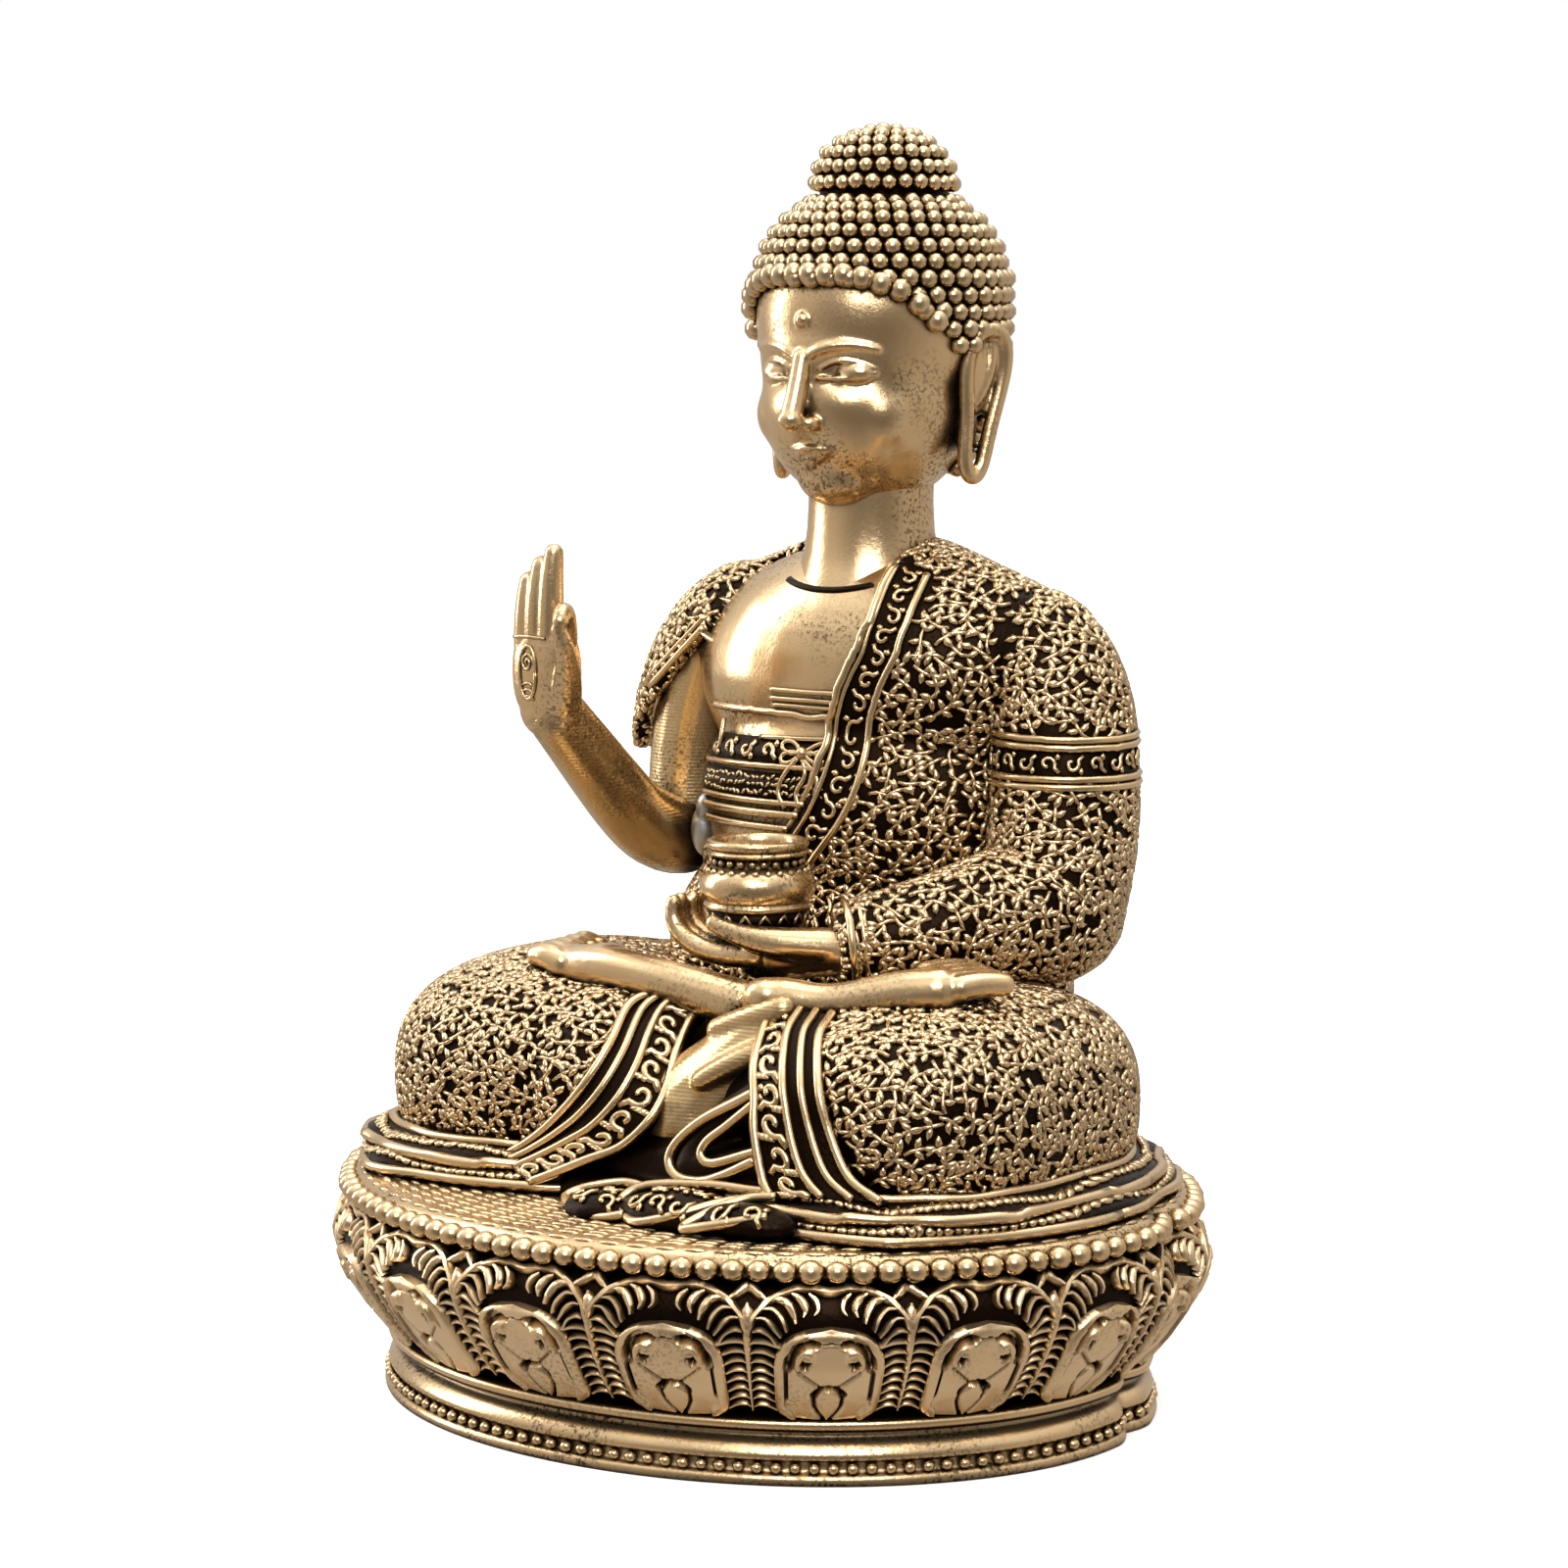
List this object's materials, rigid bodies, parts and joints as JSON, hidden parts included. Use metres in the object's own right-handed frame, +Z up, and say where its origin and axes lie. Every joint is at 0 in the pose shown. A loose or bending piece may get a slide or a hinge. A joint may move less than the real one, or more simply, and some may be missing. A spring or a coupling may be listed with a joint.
{
  "type": "seated statuette",
  "caption": "Small cast brass statuette of a seated robed figure on an oval lotus base, one hand raised, the other holding a bowl.",
  "frame": {"origin": "middle of the foot ring's underside", "axes": "+Z up to the topknot, the figure faces -Y, and its own left side is +X"},
  "size_m": [0.056, 0.048, 0.076],
  "materials": {
    "polished_brass": "antique-gold polish with a fine cast grain and dark patina in the recesses",
    "antique_brass": "raised relief polished to pale gold over a near-black patina ground",
    "steel": "plain turned steel, hidden inside"
  },
  "bodies": {
    "root": {"foot_ring": "polished_brass", "deck_plate": "polished_brass", "base_cover": "polished_brass", "right_foot": "polished_brass", "left_foot": "polished_brass", "right_shin": "polished_brass", "right_upper_arm": "polished_brass", "right_forearm": "polished_brass", "right_hand": "polished_brass", "left_hand": "polished_brass", "alms_bowl": "polished_brass", "head": "polished_brass", "lotus_ring": "antique_brass", "right_leg": "antique_brass", "left_leg": "antique_brass", "right_skirt": "antique_brass", "left_skirt": "antique_brass", "front_drape": "antique_brass", "torso": "antique_brass", "waist_sash": "antique_brass", "left_upper_arm": "antique_brass", "left_forearm": "antique_brass", "figure_screw_left": "steel", "figure_screw_right": "steel", "figure_screw_back": "steel", "neck_pin": "steel", "right_elbow_pin": "steel", "right_wrist_pin": "steel", "left_wrist_pin": "steel", "bowl_pin": "steel"}
  },
  "joints": []
}
